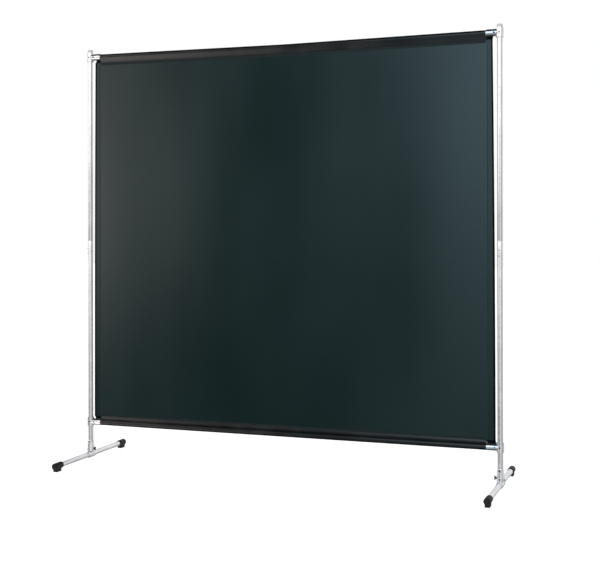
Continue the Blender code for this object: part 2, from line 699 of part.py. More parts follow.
def build_screen():
    """Build every piece of the screen."""
    clear_scene()
    tube_metal = make_material("tube_aluminium", (0.80, 0.81, 0.82), 0.28, 1.0)
    casting = make_material("cast_fitting", (0.74, 0.75, 0.76), 0.38, 1.0)
    steel = make_material("zinc_steel", (0.62, 0.63, 0.64), 0.35, 1.0)
    black_steel = make_material("black_steel", (0.03, 0.03, 0.03), 0.45, 0.6)
    grey_plastic = make_material("grey_plastic", (0.62, 0.63, 0.63), 0.45, 0.0)
    black_plastic = make_material("black_plastic", (0.02, 0.02, 0.02), 0.45, 0.0)
    rubber = make_material("black_rubber", (0.02, 0.02, 0.02), 0.7, 0.0)
    vinyl = make_material("green_vinyl", (0.012, 0.032, 0.030), 0.35, 0.0)
    hem_vinyl = make_material("hem_vinyl", (0.03, 0.03, 0.032), 0.45, 0.0)

    for side in SIDES:
        build_post(side, tube_metal, grey_plastic, steel)
        build_tee(f"top_tee_{side}", side, TOP_RAIL_HEIGHT, casting, steel)
        build_tee(f"bottom_tee_{side}", side, BOTTOM_RAIL_HEIGHT, casting, steel)
        build_foot(side, tube_metal, casting, rubber, black_steel, black_plastic)
    facing_down = (math.pi, 0, 0)
    facing_up = (0, 0, 0)
    build_rail("top_rail", TOP_RAIL_HEIGHT, RAIL_SAG, facing_down, tube_metal, steel)
    build_rail("bottom_rail", BOTTOM_RAIL_HEIGHT, 0, facing_up, tube_metal, steel)
    build_curtain(vinyl, hem_vinyl)


build_screen()
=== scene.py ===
import json
import math
import bmesh
import bpy
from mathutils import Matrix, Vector


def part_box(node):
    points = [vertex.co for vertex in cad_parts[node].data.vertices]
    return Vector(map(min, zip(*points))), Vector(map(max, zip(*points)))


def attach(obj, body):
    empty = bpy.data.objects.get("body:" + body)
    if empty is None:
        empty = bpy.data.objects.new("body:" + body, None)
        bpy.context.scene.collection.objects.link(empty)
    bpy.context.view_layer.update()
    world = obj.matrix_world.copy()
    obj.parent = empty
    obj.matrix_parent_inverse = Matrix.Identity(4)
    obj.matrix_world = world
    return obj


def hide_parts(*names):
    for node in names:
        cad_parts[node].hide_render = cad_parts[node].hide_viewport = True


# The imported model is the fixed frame, in metres: origin on the floor under the middle of the
# screen, +X along its width, the front looks along -Y, +Z up.
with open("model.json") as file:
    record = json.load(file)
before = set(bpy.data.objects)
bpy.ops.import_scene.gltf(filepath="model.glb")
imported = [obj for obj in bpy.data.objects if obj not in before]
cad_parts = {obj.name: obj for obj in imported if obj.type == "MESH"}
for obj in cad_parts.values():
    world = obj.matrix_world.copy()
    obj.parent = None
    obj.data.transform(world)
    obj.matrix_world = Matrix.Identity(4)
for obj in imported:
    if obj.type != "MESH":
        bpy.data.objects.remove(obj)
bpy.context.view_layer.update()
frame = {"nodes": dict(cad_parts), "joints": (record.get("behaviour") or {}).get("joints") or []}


# The room: a level camera stands to the right of the screen, which is on a pale floor. Wide soft
# lights in front, beside and behind are drawn on the world, for the metal and film to reflect,
# and one lamp hangs in front. None of this is part of the screen.
CAMERA_PLACE = (1.782, -4.745, 1.107)
CAMERA_TURN = math.radians(19.64)
CAMERA_LENS = 66.19
CAMERA_SHIFT = -0.08005
CAMERA_ROLL = 0.0014
FLOOR_SIZE = 60.0

bpy.ops.object.select_all(action="DESELECT")
bpy.ops.object.camera_add(location=CAMERA_PLACE, rotation=(math.pi / 2, CAMERA_ROLL, CAMERA_TURN))
camera = bpy.context.object
camera.data.lens = CAMERA_LENS
camera.data.shift_y = CAMERA_SHIFT
bpy.context.scene.camera = camera
bpy.context.scene.view_settings.view_transform = "Standard"

world = bpy.data.worlds.new("room")
world.use_nodes = True
bpy.context.scene.world = world
room = world.node_tree
room.nodes.clear()
direction = room.nodes.new("ShaderNodeTexCoord")
split = room.nodes.new("ShaderNodeSeparateXYZ")
room.links.new(direction.outputs["Generated"], split.inputs[0])


def room_ramp(axis, stops):
    """A grey ramp over one part of the direction, which goes from -1 to 1."""
    spread = room.nodes.new("ShaderNodeMapRange")
    spread.inputs["From Min"].default_value = -1
    room.links.new(split.outputs[axis], spread.inputs["Value"])
    ramp = room.nodes.new("ShaderNodeValToRGB")
    ramp.color_ramp.interpolation = "LINEAR"
    while len(ramp.color_ramp.elements) < len(stops):
        ramp.color_ramp.elements.new(0.5)
    for element, (place, grey) in zip(ramp.color_ramp.elements, stops):
        element.position = place / 2 + 0.5
        element.color = (grey, grey, grey, 1)
    room.links.new(spread.outputs["Result"], ramp.inputs["Fac"])
    return ramp.outputs["Color"]


def room_mix(kind, first, second):
    """Two colours multiplied or added."""
    mixed = room.nodes.new("ShaderNodeMix")
    mixed.data_type = "RGBA"
    mixed.blend_type = kind
    mixed.inputs["Factor"].default_value = 1
    for socket, value in (("A", first), ("B", second)):
        if isinstance(value, bpy.types.NodeSocket):
            room.links.new(value, mixed.inputs[socket])
        else:
            mixed.inputs[socket].default_value = (*value, 1)
    return mixed.outputs["Result"]


def soft_light(colour, wide, high, deep):
    """A soft light whose strength follows the direction's X, Z and Y parts."""
    lit = room_mix("MULTIPLY", room_ramp("X", wide), room_ramp("Z", high))
    lit = room_mix("MULTIPLY", lit, room_ramp("Y", deep))
    return room_mix("MULTIPLY", lit, colour)


# Along Y, -1 lies straight in front of the screen and 1 straight behind it.
IN_FRONT = [(-1.0, 1.0), (-0.1, 1.0), (0.1, 0.0), (1.0, 0.0)]
BEHIND = [(-1.0, 0.0), (-0.1, 0.0), (0.15, 1.0), (1.0, 1.0)]
EVEN = [(-1.0, 1.0), (1.0, 1.0)]
walls = soft_light(
    (0.21, 0.21, 0.215),
    [(-1.0, 1.0), (-0.52, 1.0), (-0.42, 0.35), (-0.25, 0.35), (-0.1, 1.0), (1.0, 1.0)],
    [(-1.0, 0.1), (-0.8, 0.1), (-0.6, 0.4), (-0.3, 0.6), (0.05, 0.9), (0.5, 1.0), (0.7, 0.3),
     (0.8, 0.0), (1.0, 0.0)],
    EVEN,
)
left_light = soft_light(
    (3.2, 2.85, 2.7),
    [(-1.0, 0.25), (-0.65, 0.75), (-0.56, 1.05), (-0.52, 0.72), (-0.48, 0.28), (-0.44, 0.08),
     (-0.39, 0.0), (1.0, 0.0)],
    [(-1.0, 0.0), (-0.82, 0.0), (-0.7, 0.6), (-0.5, 0.6), (-0.25, 0.1), (-0.15, 0.02),
     (-0.09, 0.15), (-0.02, 0.85), (0.05, 1.0), (0.13, 0.66), (0.35, 0.7), (0.5, 0.95),
     (0.62, 0.9), (0.7, 0.0), (1.0, 0.0)],
    IN_FRONT,
)
low_light = soft_light(
    (1.5, 1.45, 1.42),
    [(-1.0, 0.6), (-0.5, 1.0), (-0.43, 0.9), (-0.36, 0.1), (-0.3, 0.0), (1.0, 0.0)],
    [(-1.0, 0.0), (-0.82, 0.0), (-0.7, 1.0), (-0.45, 1.0), (-0.28, 0.0), (1.0, 0.0)],
    IN_FRONT,
)
right_light = soft_light(
    (1.95, 2.45, 2.9),
    [(-1.0, 0.0), (-0.34, 0.0), (-0.26, 0.18), (-0.2, 0.48), (-0.13, 0.9), (-0.03, 1.0),
     (0.08, 0.0), (1.0, 0.0)],
    [(-1.0, 0.0), (-0.82, 0.0), (-0.7, 0.3), (-0.5, 0.3), (-0.18, 0.1), (-0.09, 0.2), (-0.03, 0.38),
     (0.04, 0.68), (0.13, 1.0), (0.6, 0.9), (0.72, 0.1), (0.8, 0.0), (1.0, 0.0)],
    IN_FRONT,
)
side_light = soft_light(
    (1.2, 1.2, 1.2),
    [(-1.0, 0.0), (-0.1, 0.0), (0.1, 1.0), (0.55, 1.0), (0.75, 0.5), (1.0, 0.25)],
    [(-1.0, 0.5), (-0.3, 0.45), (-0.06, 0.5), (0.04, 0.95), (0.5, 1.0), (0.75, 0.5),
     (0.85, 0.0), (1.0, 0.0)],
    IN_FRONT,
)
back_light = soft_light(
    (0.72, 0.72, 0.72),
    EVEN,
    [(-1.0, 0.5), (-0.25, 0.55), (0.0, 0.9), (0.34, 1.0), (0.56, 0.95), (0.68, 0.0), (1.0, 0.0)],
    BEHIND,
)
lit = walls
for light in (left_light, low_light, right_light, side_light, back_light):
    lit = room_mix("ADD", lit, light)
reflected = room.nodes.new("ShaderNodeBackground")
room.links.new(lit, reflected.inputs["Color"])
backdrop = room.nodes.new("ShaderNodeBackground")
backdrop.inputs["Color"].default_value = (1, 1, 1, 1)
seen = room.nodes.new("ShaderNodeLightPath")
either = room.nodes.new("ShaderNodeMixShader")
room.links.new(seen.outputs["Is Camera Ray"], either.inputs["Fac"])
room.links.new(reflected.outputs["Background"], either.inputs[1])
room.links.new(backdrop.outputs["Background"], either.inputs[2])
output = room.nodes.new("ShaderNodeOutputWorld")
room.links.new(either.outputs["Shader"], output.inputs["Surface"])

LAMP_PLACE = Vector((2.2, -3.2, 3.6))
LAMP_TARGET = Vector((0.5, 0.0, 1.3))
LAMP_SIZE = 1.6
LAMP_POWER = 30
aim = (LAMP_TARGET - LAMP_PLACE).to_track_quat("-Z", "Y").to_euler()
bpy.ops.object.light_add(type="AREA", location=LAMP_PLACE, rotation=aim)
lamp = bpy.context.object
lamp.name = "lamp"
lamp.data.shape = "SQUARE"
lamp.data.size = LAMP_SIZE
lamp.data.color = (0.92, 0.98, 1.0)
lamp.data.energy = LAMP_POWER
lamp.visible_camera = False
lamp.visible_glossy = False

bpy.ops.mesh.primitive_plane_add(size=FLOOR_SIZE, location=(0, 0, 0))
floor = bpy.context.object
floor.name = "floor"
floor.visible_glossy = False
floor_finish = bpy.data.materials.new("floor_paint")
floor_finish.use_nodes = True
floor_shader = floor_finish.node_tree.nodes["Principled BSDF"]
floor_shader.inputs["Base Color"].default_value = (0.86, 0.86, 0.86, 1)
floor_shader.inputs["Roughness"].default_value = 0.9
floor_shader.inputs["Emission Color"].default_value = (1, 1, 1, 1)
floor_shader.inputs["Emission Strength"].default_value = 0.8
floor.data.materials.append(floor_finish)


# The posts: two lengths of drawn aluminium tube each, the upper one pushed over a spigot in the
# lower one. The upper tube has a rolled ring above the joint, and a hole for the button.
SIDES = {"left": -1, "right": 1}
TUBE_SIDES = 64
TUBE_END_CHAMFER = 0.0004
TUBE_WALL = 0.0015
SMOOTH_ANGLE = math.radians(35)
CRIMP_HALF_WIDTH = 0.003
CRIMP_DEPTH = 0.0007
CRIMP_ABOVE_SEAM = 0.050
CRIMP_SHAPE = [
    (-1.0, 0.0),
    (-0.6, 0.25),
    (-0.25, 0.85),
    (0.0, 1.0),
    (0.25, 0.85),
    (0.6, 0.25),
    (1.0, 0.0),
]
RIVET_HOLE = 0.0025
BUTTON_HOLE = 0.0038
BUTTON_ABOVE_SEAM = 0.0105
HOLE_START = 0.002
HOLE_END = 0.02
MERGE = 1e-6
DRAWN_LIGHT = (0.90, 0.91, 0.92)
DRAWN_DULL = (0.78, 0.79, 0.81)


def turned(name, rings, sides=TUBE_SIDES, filled=True):
    """Draw a round shell up ring by ring about Z, from (radius, height) pairs.

    A filled shell gets a face at its first and last ring. Otherwise the last ring comes back to
    the first, and the two are merged.
    """
    bpy.ops.object.select_all(action="DESELECT")
    radius, height = rings[0]
    bpy.ops.mesh.primitive_circle_add(vertices=sides, radius=radius, location=(0, 0, 0))
    piece = bpy.context.object
    piece.name = name
    piece.data.name = name
    bpy.ops.object.mode_set(mode="EDIT")
    bpy.ops.mesh.select_mode(type="VERT")
    bpy.ops.mesh.select_all(action="SELECT")
    bpy.ops.transform.translate(value=(0, 0, height))
    if filled:
        bpy.ops.mesh.edge_face_add()
    for wider, higher in rings[1:]:
        bpy.ops.mesh.extrude_region_move(TRANSFORM_OT_translate={"value": (0, 0, higher - height)})
        share = wider / radius
        bpy.ops.transform.resize(value=(share, share, 1), center_override=(0, 0, higher))
        radius, height = wider, higher
    if not filled:
        bpy.ops.mesh.select_all(action="SELECT")
        bpy.ops.mesh.remove_doubles(threshold=MERGE)
    bpy.ops.mesh.select_all(action="SELECT")
    bpy.ops.mesh.normals_make_consistent(inside=False)
    bpy.ops.object.mode_set(mode="OBJECT")
    return piece


def tube_rings(radius, bore, bottom, top):
    """Rings of a plain tube with its ends' outer edges broken."""
    return [
        (radius, bottom + TUBE_END_CHAMFER),
        (radius, top - TUBE_END_CHAMFER),
        (radius - TUBE_END_CHAMFER, top),
        (bore, top),
        (bore, bottom),
        (radius - TUBE_END_CHAMFER, bottom),
        (radius, bottom + TUBE_END_CHAMFER),
    ]


def set_down(piece, place=(0, 0, 0), turn=(0, 0, 0)):
    """Turn and move a piece, and put its place in its mesh."""
    piece.rotation_euler = turn
    piece.location = place
    bpy.ops.object.select_all(action="DESELECT")
    piece.select_set(True)
    bpy.context.view_layer.objects.active = piece
    bpy.ops.object.transform_apply(location=True, rotation=True, scale=True)
    return piece


def combine(piece, tool, operation):
    """Join the tool's volume to the piece or cut it from the piece, and throw the tool away."""
    bpy.ops.object.select_all(action="DESELECT")
    bpy.context.view_layer.objects.active = piece
    step = piece.modifiers.new("combine", "BOOLEAN")
    step.operation = operation
    step.solver = "MANIFOLD"
    step.object = tool
    bpy.ops.object.modifier_apply(modifier=step.name)
    bpy.data.objects.remove(tool)


def across(direction):
    """The turn that lays the Z axis along a level direction, an angle from +X."""
    return (0, math.pi / 2, direction)


def smooth(piece, angle=SMOOTH_ANGLE):
    """Round faces shade smoothly, and edges sharper than the angle stay crisp."""
    bpy.ops.object.select_all(action="DESELECT")
    piece.select_set(True)
    bpy.context.view_layer.objects.active = piece
    bpy.ops.object.shade_smooth_by_angle(angle=angle)


def copied(piece, name, place=(0, 0, 0), turn=(0, 0, 0)):
    """A copy with its own mesh, turned about the origin and then moved."""
    twin = piece.copy()
    twin.data = piece.data.copy()
    twin.name = name
    twin.data.name = name
    bpy.context.scene.collection.objects.link(twin)
    return set_down(twin, place, turn)


def new_finish(name, roughness, metallic):
    """A material, its shader, and a small function that adds a node with its inputs set."""
    finish = bpy.data.materials.new(name)
    finish.use_nodes = True
    tree = finish.node_tree
    shader = tree.nodes["Principled BSDF"]
    shader.inputs["Roughness"].default_value = roughness
    shader.inputs["Metallic"].default_value = metallic

    def add(kind, **inputs):
        node = tree.nodes.new("ShaderNode" + kind)
        for key, value in inputs.items():
            socket = node.inputs[key.replace("_", " ")]
            if isinstance(value, bpy.types.NodeSocket):
                tree.links.new(value, socket)
            else:
                socket.default_value = value
        return node

    return finish, shader, add


def grain(add, stretch, size, detail=3.0):
    """Noise on the piece's own coordinates, with one scale for each axis."""
    where = add("TexCoord").outputs["Object"]
    scaled = add("Mapping", Vector=where, Scale=stretch).outputs["Vector"]
    return add("TexNoise", Vector=scaled, Scale=size, Detail=detail).outputs["Fac"]


def between(add, amount, low, high, first=0.35, last=0.65):
    """A value that goes from low to high as the amount goes from first to last."""
    spread = add("MapRange", Value=amount)
    spread.inputs["From Min"].default_value = first
    spread.inputs["From Max"].default_value = last
    spread.inputs["To Min"].default_value = low
    spread.inputs["To Max"].default_value = high
    return spread.outputs["Result"]


def tint(add, amount, low, high):
    """A colour between two, by an amount from 0 to 1."""
    mixed = add("Mix")
    mixed.data_type = "RGBA"
    mixed.id_data.links.new(amount, mixed.inputs["Factor"])
    mixed.inputs["A"].default_value = (*low, 1)
    mixed.inputs["B"].default_value = (*high, 1)
    return mixed.outputs["Result"]


def wire(shader, **sources):
    """Join sources to the shader's sockets."""
    for key, source in sources.items():
        shader.id_data.links.new(source, shader.inputs[key.replace("_", " ")])


def drawn_aluminium(name, stretch):
    """Drawn tube: fine lines along its length, a soft haze, a few faint rubs."""
    finish, shader, add = new_finish(name, 0.25, 1.0)
    lines = grain(add, stretch, 1.0, 4.0)
    haze = grain(add, (1, 1, 1), 9.0, 4.0)
    rubs = grain(add, (1, 1, 1), 70.0, 6.0)
    wire(shader, Base_Color=tint(add, between(add, haze, 0, 1), DRAWN_LIGHT, DRAWN_DULL))
    worn = add("Math", Value=between(add, lines, 0.19, 0.29))
    worn.operation = "ADD"
    shader.id_data.links.new(between(add, rubs, 0.0, 0.07, 0.5, 0.75), worn.inputs[1])
    wire(shader, Roughness=worn.outputs[0])
    bump = add("Bump", Height=lines, Strength=0.12, Distance=0.0002)
    wire(shader, Normal=bump.outputs["Normal"])
    return finish


upright_tube = drawn_aluminium("tube_upright", (1600, 1600, 5))


def finished(piece, body, slot, finish, *nodes):
    """Smooth a piece, give it its finish and body, and let it stand for its CAD nodes."""
    smooth(piece)
    piece.data.materials.clear()
    piece.data.materials.append(finish)
    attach(piece, body)
    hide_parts(*nodes)
    return piece


post_x = {}
button_turn = {}
for side in SIDES:
    low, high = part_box(f"post_lower_{side}")
    radius = (high.x - low.x) / 2
    bore = radius - TUBE_WALL
    centre = (low.x + high.x) / 2
    post_x[side] = centre
    rivet_low, rivet_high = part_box(f"post_rivet_{side}")
    rivet_height = (rivet_low.z + rivet_high.z) / 2
    press = next(joint for joint in frame["joints"] if joint["name"] == f"button_{side}_press")
    button_turn[side] = math.atan2(-press["axis"][1], -press["axis"][0])

    lower = turned(f"post_lower_{side}_skin", tube_rings(radius, bore, low.z, high.z), filled=False)
    hole = turned("hole", [(RIVET_HOLE, HOLE_START), (RIVET_HOLE, HOLE_END)], 24)
    set_down(hole, (0, 0, rivet_height), across(button_turn[side]))
    combine(lower, hole, "DIFFERENCE")
    set_down(lower, (centre, 0, 0))
    finished(lower, "screen", "tube_aluminium", upright_tube, f"post_lower_{side}")

    low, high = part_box(f"post_upper_{side}")
    crimp = low.z + CRIMP_ABOVE_SEAM
    outline = tube_rings(radius, bore, low.z, high.z)
    ring = []
    for share, depth in CRIMP_SHAPE:
        ring.append((radius - depth * CRIMP_DEPTH, crimp + share * CRIMP_HALF_WIDTH))
    inner_ring = [(r - TUBE_WALL, z) for r, z in reversed(ring)]
    rings = outline[:1] + ring + outline[1:4] + inner_ring + outline[4:]
    upper = turned(f"post_upper_{side}_skin", rings, filled=False)
    hole = turned("hole", [(BUTTON_HOLE, HOLE_START), (BUTTON_HOLE, HOLE_END)], 24)
    set_down(hole, (0, 0, low.z + BUTTON_ABOVE_SEAM), across(button_turn[side]))
    combine(upper, hole, "DIFFERENCE")
    set_down(upper, (centre, 0, 0))
    finished(upper, "screen", "tube_aluminium", upright_tube, f"post_upper_{side}")


# The joint in each post: a steel spigot riveted into the lower tube, and a spring button that
# snaps into the upper tube's hole. The rivet and button are bright zinc-plated steel.
RIVET_HEAD = 0.0036
BUTTON_FLANGE = 0.0045
BUTTON_DOME = 0.0035
LEAF = (0.0007, 0.005, 0.040)
LEAF_FROM_AXIS = 0.0066

plated_steel, shader, add = new_finish("plated_steel", 0.3, 1.0)
clouds = grain(add, (1, 1, 1), 420.0, 4.0)
shade = between(add, clouds, 0, 1)
wire(shader, Base_Color=tint(add, shade, (0.66, 0.67, 0.69), (0.46, 0.47, 0.48)))
wire(shader, Roughness=between(add, clouds, 0.24, 0.42))
bump = add("Bump", Height=clouds, Strength=0.15, Distance=0.0002)
wire(shader, Normal=bump.outputs["Normal"])

for side in SIDES:
    rivet_low, rivet_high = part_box(f"post_rivet_{side}")
    place = (post_x[side], 0, (rivet_low.z + rivet_high.z) / 2)
    rivet = turned(f"post_rivet_{side}_skin", [
        (0.0028, 0.0073),
        (0.0028, 0.0084),
        (0.0022, 0.0085),
        (0.0022, 0.0128),
        (RIVET_HEAD, 0.0128),
        (RIVET_HEAD, 0.0130),
        (RIVET_HEAD * 0.86, 0.0135),
        (RIVET_HEAD * 0.55, 0.0139),
        (RIVET_HEAD * 0.2, 0.0140),
    ], 32)
    set_down(rivet, place, across(button_turn[side]))
    finished(rivet, "screen", "zinc_steel", plated_steel, f"post_rivet_{side}")

    button_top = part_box(f"post_button_{side}")[1].z
    place = (post_x[side], 0, button_top - BUTTON_FLANGE)
    button = turned(f"post_button_{side}_skin", [
        (BUTTON_FLANGE, 0.00653),
        (BUTTON_FLANGE, 0.00772),
        (BUTTON_DOME, 0.00773),
        (BUTTON_DOME, 0.0136),
        (BUTTON_DOME * 0.93, 0.0143),
        (BUTTON_DOME * 0.72, 0.0148),
        (BUTTON_DOME * 0.4, 0.0151),
        (BUTTON_DOME * 0.12, 0.0152),
    ], 32)
    set_down(button, (0, 0, 0), across(0))
    bpy.ops.mesh.primitive_cube_add(size=1, location=(LEAF_FROM_AXIS, 0, -LEAF[2] / 2))
    leg = bpy.context.object
    leg.scale = LEAF
    set_down(leg, leg.location)
    combine(button, leg, "UNION")
    set_down(button, place, (0, 0, button_turn[side]))
    finished(button, f"button_{side}", "zinc_steel", plated_steel, f"post_button_{side}")

for name in ("post_spigot_left", "post_spigot_right", "post_spring_left", "post_spring_right"):
    frame["nodes"][name].material_slots[0].material = plated_steel


# The plugs: a grey moulded plastic cap on the top of each post. Its skirt is pressed into the
# tube, and its upper edge is softly rounded.
PLUG_DEPTH = 0.018
PLUG_SKIRT = 0.0107
PLUG_ROUNDING = 0.0025
PLUG_STEPS = 5

grey_moulding, shader, add = new_finish("grey_moulding", 0.45, 0.0)
speckle = grain(add, (1, 1, 1), 900.0, 4.0)
wire(shader, Base_Color=tint(add, speckle, (0.40, 0.41, 0.41), (0.56, 0.57, 0.57)))
wire(shader, Roughness=between(add, speckle, 0.36, 0.56))
bump = add("Bump", Height=speckle, Strength=0.2, Distance=0.0002)
wire(shader, Normal=bump.outputs["Normal"])

for side in SIDES:
    low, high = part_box(f"post_cap_{side}")
    radius = (high.x - low.x) / 2
    seat = low.z + PLUG_DEPTH
    rings = [
        (0.0098, low.z),
        (0.0105, low.z + 0.0015),
        (PLUG_SKIRT, seat),
        (radius - 0.0003, seat + 0.0003),
        (radius, seat + 0.0006),
    ]
    for step in range(PLUG_STEPS + 1):
        angle = step * math.pi / (2 * PLUG_STEPS)
        inset = PLUG_ROUNDING * (1 - math.cos(angle))
        drop = PLUG_ROUNDING * (1 - math.sin(angle))
        rings.append((radius - inset, high.z - drop))
    plug = turned(f"post_cap_{side}_skin", rings, 48)
    set_down(plug, (post_x[side], 0, 0))
    finished(plug, "screen", "grey_plastic", grey_moulding, f"post_cap_{side}")


# The tees: polished castings that clamp each rail to its post. A sleeve goes round the post, an
# arm round the rail's end, with a small fillet between, and a black set screw in each.
FITTING_RADIUS = 0.0168
ARM_RADIUS = 0.0161
POST_BORE = 0.0128
ARM_BORE = 0.0131
TEE_HALF_HEIGHT = 0.0215
TEE_REACH = 0.0585
TEE_WEB_END = 0.0158
EDGE_BREAK = 0.0008
TEE_FILLET = 0.0016
FILLET_STEPS = 4
ON_SURFACE = 5e-5
RAIL_SCREW_REACH = 0.0235
SCREW_HOLE = 0.0033
HOLE_EASE = 0.0006
DRILL_FROM = 0.006
CUT_PAST = 0.004
SCREW_SINK = 0.0004
SCREW_TIP = 0.0128
SCREW_KEY = 0.0017
FRONT = -math.pi / 2

polished_casting, shader, add = new_finish("polished_casting", 0.2, 1.0)
skin = grain(add, (1, 1, 1), 260.0, 5.0)
haze = grain(add, (1, 1, 1), 34.0, 3.0)
shade = between(add, haze, 0, 1)
wire(shader, Base_Color=tint(add, shade, (0.91, 0.92, 0.93), (0.80, 0.81, 0.83)))
wire(shader, Roughness=between(add, skin, 0.15, 0.30))
bump = add("Bump", Height=skin, Strength=0.10, Distance=0.0003)
wire(shader, Normal=bump.outputs["Normal"])

black_oxide, shader, add = new_finish("black_oxide", 0.42, 0.4)
shader.inputs["Specular IOR Level"].default_value = 0.2
clouds = grain(add, (1, 1, 1), 700.0, 4.0)
shade = between(add, clouds, 0, 1)
wire(shader, Base_Color=tint(add, shade, (0.007, 0.007, 0.008), (0.022, 0.022, 0.023)))
wire(shader, Roughness=between(add, clouds, 0.34, 0.52))
bump = add("Bump", Height=clouds, Strength=0.2, Distance=0.0001)
wire(shader, Normal=bump.outputs["Normal"])


def round_crease(piece, width, steps, on_crease):
    """Bevel the edges whose two ends both pass a test."""
    bpy.ops.object.select_all(action="DESELECT")
    piece.select_set(True)
    bpy.context.view_layer.objects.active = piece
    bpy.ops.object.mode_set(mode="EDIT")
    bpy.ops.mesh.select_mode(type="EDGE")
    bpy.ops.mesh.select_all(action="DESELECT")
    shape = bmesh.from_edit_mesh(piece.data)
    for edge in shape.edges:
        if all(on_crease(corner.co) for corner in edge.verts):
            edge.select_set(True)
    bmesh.update_edit_mesh(piece.data)
    bpy.ops.mesh.bevel(offset=width, segments=steps, profile=0.5, clamp_overlap=True)
    bpy.ops.mesh.select_all(action="SELECT")
    bpy.ops.mesh.remove_doubles(threshold=MERGE)
    bpy.ops.object.mode_set(mode="OBJECT")


def drill(piece, start, direction, surface, radius=SCREW_HOLE):
    """Cut a screw hole from inside the bore out through the surface, with its mouth eased."""
    bit = turned("bit", [
        (radius, DRILL_FROM),
        (radius, surface - 0.0005),
        (radius + HOLE_EASE, surface + 0.0001),
        (radius + HOLE_EASE, surface + 0.006),
    ], 32)
    set_down(bit, start, across(direction))
    combine(piece, bit, "DIFFERENCE")


def bore_out(piece, radius, bottom, top, turn=(0, 0, 0), place=(0, 0, 0), ends=(1, 1)):
    """Cut a round bore whose open ends have an eased mouth."""
    wide = radius + EDGE_BREAK
    rings = [(radius, bottom)]
    if ends[0]:
        rings = [(wide, bottom - CUT_PAST), (wide, bottom - 0.0001), (radius, bottom + EDGE_BREAK)]
    rings.append((radius, top - EDGE_BREAK))
    if ends[1]:
        rings += [(wide, top + 0.0001), (wide, top + CUT_PAST)]
    bit = turned("bit", rings)
    set_down(bit, place, turn)
    combine(piece, bit, "DIFFERENCE")


def set_screw(name, head):
    """A socket set screw along Z: its tip rests on the tube, its head lies just in its hole."""
    screw = turned(name, [
        (0.0022, SCREW_TIP),
        (0.0029, 0.0134),
        (0.0030, 0.0136),
        (0.0030, head - 0.0004),
        (0.0027, head),
        (0.0019, head),
    ], 32)
    bpy.ops.object.select_all(action="DESELECT")
    bpy.ops.mesh.primitive_cylinder_add(vertices=6, radius=SCREW_KEY, depth=0.004,
                                        location=(0, 0, head))
    key = bpy.context.object
    set_down(key, key.location)
    combine(screw, key, "DIFFERENCE")
    return screw


tee = turned("tee", [
    (FITTING_RADIUS - EDGE_BREAK, -TEE_HALF_HEIGHT),
    (FITTING_RADIUS, -TEE_HALF_HEIGHT + EDGE_BREAK),
    (FITTING_RADIUS, TEE_HALF_HEIGHT - EDGE_BREAK),
    (FITTING_RADIUS - EDGE_BREAK, TEE_HALF_HEIGHT),
])
arm = turned("arm", [
    (ARM_RADIUS, 0.0005),
    (ARM_RADIUS, TEE_REACH - EDGE_BREAK),
    (ARM_RADIUS - EDGE_BREAK, TEE_REACH),
])
set_down(arm, (0, 0, 0), across(0))
combine(tee, arm, "UNION")
round_crease(tee, TEE_FILLET, FILLET_STEPS, lambda p: p.x > 0
             and abs(math.hypot(p.x, p.y) - FITTING_RADIUS) < ON_SURFACE
             and abs(math.hypot(p.y, p.z) - ARM_RADIUS) < ON_SURFACE)
bore_out(tee, POST_BORE, -TEE_HALF_HEIGHT, TEE_HALF_HEIGHT)
bore_out(tee, ARM_BORE, TEE_WEB_END, TEE_REACH, across(0), ends=(0, 1))
drill(tee, (0, 0, 0), FRONT, FITTING_RADIUS)
drill(tee, (RAIL_SCREW_REACH, 0, 0), FRONT, ARM_RADIUS)
post_set_screw = set_screw("post_set_screw", FITTING_RADIUS - SCREW_SINK)
rail_set_screw = set_screw("rail_set_screw", ARM_RADIUS - SCREW_SINK)


def mirrored(piece, name):
    """A copy seen in a mirror across the YZ plane, with its faces turned outwards again."""
    twin = copied(piece, name)
    twin.scale = (-1, 1, 1)
    twin = set_down(twin)
    bpy.ops.object.mode_set(mode="EDIT")
    bpy.ops.mesh.select_all(action="SELECT")
    bpy.ops.mesh.normals_make_consistent(inside=False)
    bpy.ops.object.mode_set(mode="OBJECT")
    return twin


for level in ("top", "bottom"):
    for side in SIDES:
        name = f"{level}_tee_{side}"
        low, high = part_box(name)
        place = (post_x[side], 0, (low.z + high.z) / 2)
        if side == "left":
            part = copied(tee, f"{name}_skin", place)
        else:
            part = mirrored(tee, f"{name}_skin")
            set_down(part, place)
        finished(part, "screen", "cast_fitting", polished_casting, name)
        part = copied(post_set_screw, f"{name}_post_screw_skin", place, across(FRONT))
        finished(part, "screen", "zinc_steel", black_oxide, f"{name}_post_screw")
        place = (post_x[side] - SIDES[side] * RAIL_SCREW_REACH, 0, place[2])
        part = copied(rail_set_screw, f"{name}_rail_screw_skin", place, across(FRONT))
        finished(part, "screen", "zinc_steel", black_oxide, f"{name}_rail_screw")
for part in (tee, rail_set_screw):
    bpy.data.objects.remove(part)


# The rails: two lengths of the same tube each, from the tees to the middle of the screen, where
# a riveted spigot joins them. The upper one dips a little at that joint.
RAIL_TUBE = (0.0125, 0.011)  # radius and bore
RAIL_SEAT = 0.96255
RAIL_GAP = 0.00025

